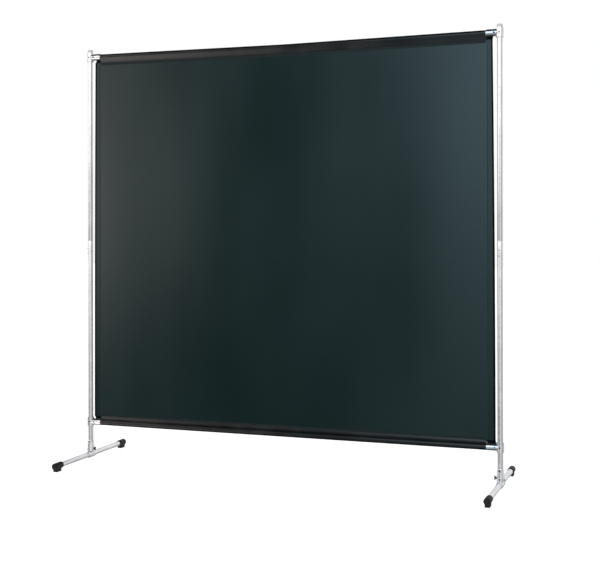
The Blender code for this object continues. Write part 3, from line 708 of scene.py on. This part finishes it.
lengthwise_tube = drawn_aluminium("tube_lengthwise", (5, 1600, 1600))
rail_axis = {}
for level in ("top", "bottom"):
    tee_low, tee_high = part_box(f"{level}_tee_left")
    spigot_low, spigot_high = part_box(f"{level}_rail_spigot")
    seat_height = (tee_low.z + tee_high.z) / 2
    dip = seat_height - (spigot_low.z + spigot_high.z) / 2
    rail_axis[level] = (seat_height, dip)
    tilt = math.atan2(dip, RAIL_SEAT)
    for side in SIDES:
        low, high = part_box(f"{level}_rail_{side}")
        outer = max(abs(low.x), abs(high.x)) - RAIL_SEAT
        rings = tube_rings(*RAIL_TUBE, -outer, RAIL_SEAT - RAIL_GAP)
        rail = turned(f"{level}_rail_{side}_skin", rings, filled=False)
        inward = 0 if side == "left" else math.pi
        set_down(rail, (SIDES[side] * RAIL_SEAT, 0, seat_height), (0, math.pi / 2 + tilt, inward))
        finished(rail, "screen", "tube_aluminium", lengthwise_tube, f"{level}_rail_{side}")
    for name in (f"{level}_rail_spigot", f"{level}_rail_rivet"):
        frame["nodes"][name].material_slots[0].material = plated_steel


# The curtain: one sheet of dark green vinyl film, about half a millimetre thick. Its sides are
# folded back and welded, and it hangs taut between the hems. Beside the hems its corners reach
# on and pass behind the arms of the tees.
PANEL_THICKNESS = 0.0008
SIDE_FOLD = 0.030
FOLD_THICKNESS = 0.0006
FOLD_BEHIND = 0.0012
FOLD_INSET = 0.0005
EDGE_BAND = 0.008
EDGE_SHARE = 0.8
WELD_BAND = 0.0025
NOTCH = 0.9398
BOTTOM_WELD = 0.0283
TOP_WELD = 0.0313
TURN = 0.0008
CORNER_REACH = 0.0135
CORNER_BEND = 0.0115
CORNER_SLOPE = 0.0145
COLUMN_STEP = 0.0155
ROWS = 110
CORNER_ROWS = 5
FOLD_COLUMNS = 4
EDGE_SPREAD = {"left": 0.0035, "right": 0.0050}
EDGE_LEAN = {"left": 0.0070, "right": 0.0110}
BILLOW = 0.0009
BILLOW_FROM = 0.2
BILLOW_SPAN = 1.74

calendered_vinyl, shader, add = new_finish("calendered_vinyl", 0.18, 0.0)
shader.inputs["Specular Tint"].default_value = (0.88, 0.99, 1.0, 1)
mottle = grain(add, (1.0, 1.0, 0.4), 2.2, 3.0)
pebble = grain(add, (1, 1, 1), 1100.0, 3.0)
ripple = grain(add, (1.0, 1.0, 0.25), 26.0, 2.0)
shade = between(add, mottle, 0, 1)
wire(shader, Base_Color=tint(add, shade, (0.0030, 0.0105, 0.0104), (0.0042, 0.0138, 0.0140)))
wire(shader, Roughness=between(add, mottle, 0.16, 0.21))
fine = add("Bump", Height=pebble, Strength=0.08, Distance=0.0002)
wave = add("Bump", Height=ripple, Strength=0.05, Distance=0.001, Normal=fine.outputs["Normal"])
wire(shader, Normal=wave.outputs["Normal"])

hem_film, shader, add = new_finish("hem_film", 0.3, 0.0)
mottle = grain(add, (1.0, 1.0, 1.0), 8.0, 3.0)
pebble = grain(add, (1, 1, 1), 900.0, 3.0)
shade = between(add, mottle, 0, 1)
wire(shader, Base_Color=tint(add, shade, (0.0022, 0.0032, 0.0033), (0.0038, 0.0050, 0.0051)))
wire(shader, Roughness=between(add, mottle, 0.21, 0.29))
fine = add("Bump", Height=pebble, Strength=0.12, Distance=0.0002)
wire(shader, Normal=fine.outputs["Normal"])

doubled_vinyl, shader, add = new_finish("doubled_vinyl", 0.2, 0.0)
shader.inputs["Specular IOR Level"].default_value = 0.44
shader.inputs["Specular Tint"].default_value = (0.88, 0.99, 1.0, 1)
mottle = grain(add, (1.0, 1.0, 0.4), 5.0, 3.0)
pebble = grain(add, (1, 1, 1), 1100.0, 3.0)
shade = between(add, mottle, 0, 1)
wire(shader, Base_Color=tint(add, shade, (0.0028, 0.0088, 0.0088), (0.0038, 0.0116, 0.0118)))
wire(shader, Roughness=between(add, mottle, 0.18, 0.25))
bump = add("Bump", Height=pebble, Strength=0.12, Distance=0.0002)
wire(shader, Normal=bump.outputs["Normal"])

weld_band, shader, add = new_finish("weld_band", 0.45, 0.0)
shader.inputs["Specular IOR Level"].default_value = 0.2
ribs = grain(add, (1.0, 1.0, 6.0), 300.0, 2.0)
shade = between(add, ribs, 0, 1)
wire(shader, Base_Color=tint(add, shade, (0.0035, 0.0080, 0.0080), (0.0055, 0.0120, 0.0120)))
wire(shader, Roughness=between(add, ribs, 0.40, 0.50))
bump = add("Bump", Height=ribs, Strength=0.25, Distance=0.0002)
wire(shader, Normal=bump.outputs["Normal"])

# Painted edge shade: a matte near-black film with no reflection, laid on the sheet's outer edges
# and the hems' outer sides to stand for the dark shade along them. Its noise varies that painted
# shade at random.
painted_edge_shade, shader, add = new_finish("painted_edge_shade", 0.6, 0.0)
shader.inputs["Specular IOR Level"].default_value = 0.0
shade_noise = grain(add, (0.3, 1.0, 1.0), 90.0, 3.0)
shade = between(add, shade_noise, 0, 1)
wire(shader, Base_Color=tint(add, shade, (0.0020, 0.0024, 0.0024), (0.0050, 0.0058, 0.0058)))
wire(shader, Roughness=between(add, shade_noise, 0.52, 0.68))


def worked(piece, finish, chosen):
    """Give the faces that chosen(face) picks a second finish of the same film."""
    piece.data.materials.append(finish)
    for face in piece.data.polygons:
        if chosen(face):
            face.material_index = len(piece.data.materials) - 1


def rail_height(level, along):
    """Height of a rail's axis at a place along the screen."""
    seat_height, dip = rail_axis[level]
    return seat_height - dip * (1 - min(1, abs(along) / RAIL_SEAT))


def billow(along, height):
    """How far the sheet stands off its plane: a millimetre or so, and nothing at the hems."""
    share = (height - BILLOW_FROM) / BILLOW_SPAN
    calm = math.sin(math.pi * min(1, max(0, share))) ** 0.7
    waves = math.sin(5.1 * along + 0.6) + 0.6 * math.sin(11.7 * along + 1.9 + 0.8 * height)
    return BILLOW * calm * waves


def laid_grid(name, columns, rows, spot):
    """A grid sheet whose points are placed by spot(column, row)."""
    bpy.ops.object.select_all(action="DESELECT")
    bpy.ops.mesh.primitive_grid_add(x_subdivisions=columns, y_subdivisions=rows, size=1,
                                    location=(0, 0, 0))
    piece = bpy.context.object
    piece.name = name
    piece.data.name = name
    for corner in piece.data.vertices:
        column = round((corner.co.x + 0.5) * columns)
        row = round((corner.co.y + 0.5) * rows)
        corner.co = spot(column, row)
    return piece


def thicken(piece, thickness, offset):
    """Give a sheet its thickness with a rim, and apply it."""
    bpy.ops.object.select_all(action="DESELECT")
    piece.select_set(True)
    bpy.context.view_layer.objects.active = piece
    step = piece.modifiers.new("thickness", "SOLIDIFY")
    step.thickness = thickness
    step.offset = offset
    step.use_even_offset = True
    bpy.ops.object.modifier_apply(modifier=step.name)


side_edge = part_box("curtain_panel")[1].x
fold_edge = side_edge - SIDE_FOLD
half_columns = [0.0]
while half_columns[-1] < NOTCH - 0.02:
    half_columns.append(half_columns[-1] + COLUMN_STEP)
half_columns += [NOTCH - 0.0005, NOTCH + 0.0002, fold_edge, fold_edge + WELD_BAND]
half_columns += [side_edge - 0.017, side_edge - EDGE_BAND, side_edge]
column_places = [-place for place in reversed(half_columns[1:])] + half_columns


def edge_shift(side, height):
    """How far the sheet's edge stands out: most at the bottom, and inwards at the top."""
    share = (height - rail_axis["bottom"][0]) / (rail_axis["top"][0] - rail_axis["bottom"][0])
    return EDGE_SPREAD[side] - EDGE_LEAN[side] * min(1, max(0, share)) ** 1.8


def row_height(row, low_end, low_turn, high_turn, high_end):
    """A row's height: the first and last few rows lie between an end and its turn."""
    if row < CORNER_ROWS:
        return low_end + (low_turn - low_end) * row / CORNER_ROWS
    if row > ROWS - CORNER_ROWS:
        return high_end - (high_end - high_turn) * (ROWS - row) / CORNER_ROWS
    return low_turn + (high_turn - low_turn) * (row - CORNER_ROWS) / (ROWS - 2 * CORNER_ROWS)


def welded_height(row, along):
    """Height of a row between the hems, where the sheet ends inside their welds."""
    low_end = rail_height("bottom", along) + BOTTOM_WELD
    high_end = rail_height("top", along) - TOP_WELD
    return row_height(row, low_end, low_end + TURN, high_end - TURN, high_end)


def corner_height(row):
    """Height of a row beside the hems, where the sheet reaches on to pass behind the arms."""
    low_turn = rail_height("bottom", NOTCH) + BOTTOM_WELD + TURN
    high_turn = rail_height("top", NOTCH) - TOP_WELD - TURN
    low_end = rail_axis["bottom"][0] + CORNER_REACH
    high_end = rail_axis["top"][0] - CORNER_REACH
    return row_height(row, low_end, low_turn, high_turn, high_end)


def behind_arm(height):
    """How far a corner of the sheet bends back to pass behind the tee's arm."""
    near = min(height - rail_axis["bottom"][0], rail_axis["top"][0] - height) - CORNER_REACH
    share = min(1, max(0, 1 - near / CORNER_SLOPE))
    return CORNER_BEND * math.sin(math.pi / 2 * share)


def panel_spot(column, row):
    """A point of the panel: its corners reach past the ends of the hems."""
    along = column_places[column]
    if abs(along) < NOTCH:
        height = welded_height(row, along)
        return (along, billow(along, height), height)
    side = "right" if along > 0 else "left"
    height = corner_height(row)
    taper = (abs(along) - NOTCH) / (side_edge - NOTCH)
    along += SIDES[side] * edge_shift(side, height) * taper
    return (along, billow(along, height) + behind_arm(height), height)


panel = laid_grid("curtain_panel_skin", len(column_places) - 1, ROWS, panel_spot)
thicken(panel, PANEL_THICKNESS, 0)
finished(panel, "screen", "green_vinyl", calendered_vinyl, "curtain_panel")
worked(panel, doubled_vinyl, lambda face: abs(face.center.x) > fold_edge + WELD_BAND)
worked(panel, weld_band, lambda face: fold_edge < abs(face.center.x) < fold_edge + WELD_BAND)


def in_edge_shade(face):
    """Whether a face's centre lies in the sheet's outermost column, at its folded edge, where the
    edge's shade is painted as a dark line.
    """
    side = "right" if face.center.x > 0 else "left"
    shift = edge_shift(side, face.center.z)
    return abs(face.center.x) > side_edge + shift - EDGE_BAND * EDGE_SHARE


# Painted shade: the sheet's outermost strip at each side gets the dark, unreflecting edge finish,
# standing for the shade along its folded edge.
worked(panel, painted_edge_shade, in_edge_shade)


def fold_spot(side):
    """Points of a side fold, which lies behind the panel along its edge."""
    def spot(column, row):
        height = corner_height(row)
        edge = side_edge - FOLD_INSET + edge_shift(side, height)
        along = SIDES[side] * (edge - SIDE_FOLD * (1 - column / FOLD_COLUMNS))
        return (along, billow(along, height) + behind_arm(height) + FOLD_BEHIND, height)
    return spot


for side in SIDES:
    fold = laid_grid(f"curtain_side_fold_{side}", FOLD_COLUMNS, ROWS, fold_spot(side))
    thicken(fold, FOLD_THICKNESS, 0)
    finished(fold, "screen", "green_vinyl", calendered_vinyl)


# The hems: a strip of dark film folded round each rail, its two edges welded to the front and
# back of the sheet in a narrow band. Along its outer edge a matte dark line is painted as shade.
HEM_COLUMNS = 150
HEM_THICKNESS = 0.0008
HEM_ROUND_STEPS = 14
HEM_SLOPE_STEPS = 8
HEM_SLOPE_BULGE = 0.10
WELD_TAIL = 0.010
WELD_STEPS = 4
WELD_HALF = 0.0014
SHADE_LINE_FROM = 0.5  # share of the hem's radius, from the rail's axis to where the line starts


def hem_path(radius, apex):
    """Half a hem's cross-section, from its top round the rail and down to the weld's end."""
    touch = math.acos(radius / apex)
    span = math.pi - touch
    points = []
    for step in range(HEM_ROUND_STEPS + 1):
        angle = span * step / HEM_ROUND_STEPS
        points.append((radius * math.sin(angle), radius * math.cos(angle)))
    start = points[-1]
    end = (WELD_HALF, -apex)
    for step in range(1, HEM_SLOPE_STEPS):
        share = step / HEM_SLOPE_STEPS
        ease = share + HEM_SLOPE_BULGE * math.sin(math.pi * share)
        y = start[0] + (end[0] - start[0]) * ease
        z = start[1] + (end[1] - start[1]) * share
        points.append((y, z))
    for step in range(WELD_STEPS + 1):
        points.append((WELD_HALF, -apex - WELD_TAIL * step / WELD_STEPS))
    return points


for level, radius, apex, up in (("top", 0.0136, 0.031, 1), ("bottom", 0.0149, 0.028, -1)):
    hem_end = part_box(f"curtain_{level}_hem")[1].x
    half = hem_path(radius, apex)
    path = [(-y, z) for y, z in reversed(half[1:])] + half

    def hem_spot(column, row):
        """A point of the hem, with a faint wrinkling that dies out towards the weld."""
        along = hem_end * (2 * column / HEM_COLUMNS - 1)
        y, z = path[row]
        soft = 0.00012 * math.sin(37 * along + 3 * z / radius) + 0.0001 * math.sin(83 * along + 1.3)
        round_it = max(0.0, min(1.0, (z + apex) / 0.02))
        grow = 1 - abs(soft) * round_it / radius
        return (along, y * grow, rail_height(level, along) + up * z * grow)

    def above_rail(face):
        """How far a face lies from the rail's axis on the hem's folded side."""
        return up * (face.center.z - rail_height(level, face.center.x))

    hem = laid_grid(f"curtain_{level}_hem_skin", HEM_COLUMNS, len(path) - 1, hem_spot)
    bpy.ops.object.mode_set(mode="EDIT")
    bpy.ops.mesh.select_all(action="SELECT")
    bpy.ops.mesh.normals_make_consistent(inside=False)
    bpy.ops.object.mode_set(mode="OBJECT")
    crown = min(hem.data.polygons, key=lambda face: -up * face.center.z)
    if crown.normal.z * up < 0:
        hem.data.flip_normals()
    thicken(hem, HEM_THICKNESS, -1)
    finished(hem, "screen", "hem_vinyl", hem_film, f"curtain_{level}_hem")
    worked(hem, weld_band, lambda face: above_rail(face) < -apex)
    # Painted shade: the hem's outer side, beyond half its radius from the rail's axis, gets the
    # dark edge finish, standing for the shade along the top hem's top and the bottom hem's
    # underside.
    worked(hem, painted_edge_shade, lambda face: above_rail(face) > radius * SHADE_LINE_FROM)


# The foot tubes: one length of the same drawn tube under each post, laid fore and aft. The
# saddle of a foot clamp holds it at its middle.
FOOT_TUBE = (0.0125, 0.011)  # radius and bore

foreaft_tube = drawn_aluminium("tube_foreaft", (1600, 5, 1600))
for side in SIDES:
    low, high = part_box(f"foot_tube_{side}")
    half = (high.y - low.y) / 2
    axis_height = (low.z + high.z) / 2
    tube = turned(f"foot_tube_{side}_skin", tube_rings(*FOOT_TUBE, -half, half), filled=False)
    set_down(tube, (post_x[side], 0, axis_height), (math.pi / 2, 0, 0))
    finished(tube, f"foot_{side}", "tube_aluminium", foreaft_tube, f"foot_tube_{side}")


# The foot clamps: castings with a saddle round the foot tube and a socket for the post. A round
# eye at the socket's rim and a groove below it face the front; set screws hold both tubes.
SADDLE_HALF = 0.030
SOCKET_RADIUS = 0.0165
SOCKET_TOP = 0.086
SOCKET_FLOOR = axis_height + 0.0143
EYE_RADIUS = 0.0085
EYE_FACE = FITTING_RADIUS + 0.0022
CLAMP_FILLET = 0.0020
CLAMP_ROUNDING = 0.0022
CLAMP_STEPS = 4
GROOVE = (0.0020, 0.0024, 0.0236)
GROOVE_HEIGHT = 0.0645
FOOT_SCREW_HEIGHT = 0.0475
SADDLE_SCREW_OFFSET = 0.024
HEX_HEIGHT = 0.0455
THUMB_HEIGHT = 0.052

rings = []
for step in range(CLAMP_STEPS + 1):
    angle = step * math.pi / (2 * CLAMP_STEPS)
    inset = CLAMP_ROUNDING * (1 - math.sin(angle))
    rise = CLAMP_ROUNDING * (1 - math.cos(angle))
    rings.append((FITTING_RADIUS - inset, rise - SADDLE_HALF))
clamp = turned("clamp", rings + [(r, -z) for r, z in reversed(rings)])
set_down(clamp, (0, 0, axis_height), (math.pi / 2, 0, 0))
socket = turned("socket", [
    (SOCKET_RADIUS, axis_height),
    (SOCKET_RADIUS, SOCKET_TOP - 0.0012),
    (SOCKET_RADIUS - 0.0004, SOCKET_TOP - 0.0004),
    (SOCKET_RADIUS - 0.0012, SOCKET_TOP),
])
combine(clamp, socket, "UNION")
round_crease(clamp, CLAMP_FILLET, FILLET_STEPS, lambda p:
             abs(math.hypot(p.x, p.y) - SOCKET_RADIUS) < ON_SURFACE
             and abs(math.hypot(p.x, p.z - axis_height) - FITTING_RADIUS) < ON_SURFACE)
eye = turned("eye", [
    (EYE_RADIUS, 0.0064),
    (EYE_RADIUS, EYE_FACE - 0.0012),
    (EYE_RADIUS - 0.0004, EYE_FACE - 0.0004),
    (EYE_RADIUS - 0.0012, EYE_FACE),
    (EYE_RADIUS - 0.0026, EYE_FACE),
    (EYE_RADIUS - 0.0032, EYE_FACE - 0.0010),
], 48)
set_down(eye, (0, 0, SOCKET_TOP), across(FRONT))
combine(clamp, eye, "UNION")
bore_out(clamp, POST_BORE, SOCKET_FLOOR, SOCKET_TOP + 0.02, ends=(0, 0))
bore_out(clamp, POST_BORE, -SADDLE_HALF, SADDLE_HALF, (math.pi / 2, 0, 0), (0, 0, axis_height))
bpy.ops.object.select_all(action="DESELECT")
bpy.ops.mesh.primitive_cube_add(size=1, location=(0, -FITTING_RADIUS, GROOVE_HEIGHT))
groove = bpy.context.object
groove.scale = GROOVE
set_down(groove, groove.location)
combine(clamp, groove, "DIFFERENCE")
drill(clamp, (0, 0, SOCKET_TOP), FRONT, EYE_FACE - 0.0010)
drill(clamp, (0, 0, FOOT_SCREW_HEIGHT), FRONT, SOCKET_RADIUS)
drill(clamp, (0, 0, THUMB_HEIGHT), 0, SOCKET_RADIUS)
drill(clamp, (0, 0, HEX_HEIGHT), math.pi, SOCKET_RADIUS)
bit = turned("bit", [
    (SCREW_HOLE, DRILL_FROM),
    (SCREW_HOLE, 0.0163),
    (SCREW_HOLE + HOLE_EASE, 0.0169),
    (SCREW_HOLE + HOLE_EASE, 0.02),
], 32)
set_down(bit, (0, -SADDLE_SCREW_OFFSET, axis_height))
combine(clamp, bit, "DIFFERENCE")

eye_screw = set_screw("eye_screw", EYE_FACE - SCREW_SINK)
hex_screw = turned("hex_screw", [
    (0.0026, SCREW_TIP),
    (0.0030, 0.0132),
    (0.0030, 0.0171),
    (0.0046, 0.0171),
    (0.0050, 0.0174),
    (0.0050, 0.0197),
    (0.0044, 0.0201),
], 6)

for side in SIDES:
    body = f"foot_{side}"
    x = post_x[side]
    if side == "left":
        part = copied(clamp, f"foot_clamp_{side}_skin", (x, 0, 0))
    else:
        part = mirrored(clamp, f"foot_clamp_{side}_skin")
        set_down(part, (x, 0, 0))
    finished(part, body, "cast_fitting", polished_casting, f"foot_clamp_{side}")
    for name, screw, place, turn in (
        (f"foot_eye_screw_{side}", eye_screw, (x, 0, SOCKET_TOP), across(FRONT)),
        (f"foot_front_screw_{side}", post_set_screw, (x, 0, FOOT_SCREW_HEIGHT), across(FRONT)),
        (f"foot_saddle_screw_{side}", post_set_screw, (x, -SADDLE_SCREW_OFFSET, axis_height),
         (0, 0, 0)),
    ):
        part = copied(screw, f"{name}_skin", place, turn)
        finished(part, body, "black_steel", black_oxide, name)
    outward = math.pi if side == "left" else 0
    part = copied(hex_screw, f"foot_hex_screw_{side}_skin", (x, 0, HEX_HEIGHT), across(outward))
    finished(part, body, "zinc_steel", plated_steel, f"foot_hex_screw_{side}")
for part in (clamp, eye_screw, hex_screw, post_set_screw):
    bpy.data.objects.remove(part)


# The thumb screws: a black moulded grip with two wings on a short screw, which locks the post in
# its socket from the inner side.
WINGS = (0.018, 0.0030, 0.0080)
WINGS_AT = 0.0241

black_moulding, shader, add = new_finish("black_moulding", 0.4, 0.0)
shader.inputs["Specular IOR Level"].default_value = 0.3
speckle = grain(add, (1, 1, 1), 1300.0, 4.0)
wire(shader, Base_Color=tint(add, speckle, (0.006, 0.006, 0.006), (0.016, 0.016, 0.017)))
wire(shader, Roughness=between(add, speckle, 0.32, 0.5))
bump = add("Bump", Height=speckle, Strength=0.2, Distance=0.0002)
wire(shader, Normal=bump.outputs["Normal"])

grip = turned("grip", [
    (0.0026, SCREW_TIP),
    (0.0030, 0.0132),
    (0.0030, 0.0171),
    (0.0040, 0.0171),
    (0.0042, 0.0174),
    (0.0042, 0.0225),
    (0.0036, 0.0231),
], 48)
bpy.ops.object.select_all(action="DESELECT")
bpy.ops.mesh.primitive_cube_add(size=1, location=(0, 0, WINGS_AT))
wings = bpy.context.object
wings.scale = WINGS
set_down(wings, wings.location)
bpy.ops.object.mode_set(mode="EDIT")
bpy.ops.mesh.select_mode(type="EDGE")
bpy.ops.mesh.select_all(action="SELECT")
bpy.ops.mesh.subdivide(number_cuts=5)
bpy.ops.object.mode_set(mode="OBJECT")
for corner in wings.data.vertices:
    share = abs(corner.co.x) / (WINGS[0] / 2)
    outer = corner.co.z > WINGS_AT
    height = 0.45 + 0.55 * share ** 1.5 if outer else 1.0 - 0.35 * share ** 2
    corner.co.z = WINGS_AT + (corner.co.z - WINGS_AT) * height
    corner.co.y *= 0.7 + 0.3 * share
step = wings.modifiers.new("edges", "BEVEL")
step.width = 0.0005
step.segments = 2
step.limit_method = "ANGLE"
bpy.context.view_layer.objects.active = wings
bpy.ops.object.modifier_apply(modifier=step.name)
combine(grip, wings, "UNION")
for side in SIDES:
    inward = 0 if side == "left" else math.pi
    name = f"foot_thumb_screw_{side}"
    part = copied(grip, f"{name}_skin", (post_x[side], 0, THUMB_HEIGHT), across(inward))
    finished(part, f"thumb_screw_{side}", "black_plastic", black_moulding, name)
bpy.data.objects.remove(grip)


# The foot caps: moulded black rubber sleeves with a blind rounded end and a block pad under it,
# pushed over the ends of the foot tubes.
CAP_RADIUS = 0.0155
CAP_LENGTH = 0.058
CAP_ROUNDING = 0.0045
CAP_STEPS = 6
CAP_FLOOR = 0.004
PAD_SIZE = (0.022, 0.038, 0.019)
PAD_INSET = 0.008
TREAD_SIZE = (0.04, 0.002, 0.002)
FOOT_HALF = 0.330
pad_middle = -FOOT_HALF + PAD_INSET + PAD_SIZE[1] / 2

moulded_rubber, shader, add = new_finish("moulded_rubber", 0.6, 0.0)
shader.inputs["Specular IOR Level"].default_value = 0.25
speckle = grain(add, (1, 1, 1), 600.0, 5.0)
bloom = grain(add, (1, 1, 1), 60.0, 3.0)
shade = between(add, bloom, 0, 1)
wire(shader, Base_Color=tint(add, shade, (0.005, 0.005, 0.005), (0.014, 0.014, 0.014)))
wire(shader, Roughness=between(add, speckle, 0.42, 0.64))
bump = add("Bump", Height=speckle, Strength=0.35, Distance=0.0003)
wire(shader, Normal=bump.outputs["Normal"])

rings = [(CAP_RADIUS - CAP_ROUNDING, 0)]
for step in range(1, CAP_STEPS + 1):
    angle = step * math.pi / (2 * CAP_STEPS)
    inset = CAP_ROUNDING * (1 - math.sin(angle))
    rings.append((CAP_RADIUS - inset, CAP_ROUNDING * (1 - math.cos(angle))))
rings += [
    (CAP_RADIUS - 0.0002, CAP_LENGTH - 0.0085),
    (CAP_RADIUS - 0.0008, CAP_LENGTH - 0.0080),
    (CAP_RADIUS - 0.0008, CAP_LENGTH - 0.0070),
    (CAP_RADIUS, CAP_LENGTH - 0.0065),
    (CAP_RADIUS, CAP_LENGTH - 0.0008),
    (CAP_RADIUS - 0.0008, CAP_LENGTH),
]
cap = turned("cap", rings)
set_down(cap, (0, -FOOT_HALF, axis_height), across(math.pi / 2))
bpy.ops.object.select_all(action="DESELECT")
bpy.ops.mesh.primitive_cube_add(size=1, location=(0, pad_middle, PAD_SIZE[2] / 2))
pad = bpy.context.object
pad.scale = PAD_SIZE
set_down(pad, pad.location)
step = pad.modifiers.new("edges", "BEVEL")
step.width = 0.0015
step.segments = 3
step.limit_method = "ANGLE"
bpy.ops.object.modifier_apply(modifier=step.name)
for offset in (-0.010, 0.0, 0.010):
    bpy.ops.object.select_all(action="DESELECT")
    bpy.ops.mesh.primitive_cube_add(size=1, location=(0, pad_middle + offset, 0))
    tread = bpy.context.object
    tread.scale = TREAD_SIZE
    set_down(tread, tread.location)
    combine(pad, tread, "DIFFERENCE")
combine(cap, pad, "UNION")
bore_out(cap, POST_BORE, CAP_FLOOR, CAP_LENGTH, across(math.pi / 2),
         (0, -FOOT_HALF, axis_height), (0, 1))
for side in SIDES:
    for end, turn in (("front", 0), ("rear", math.pi)):
        name = f"foot_cap_{end}_{side}"
        part = copied(cap, f"{name}_skin", (post_x[side], 0, 0), (0, 0, turn))
        finished(part, f"foot_{side}", "black_rubber", moulded_rubber, name)
bpy.data.objects.remove(cap)
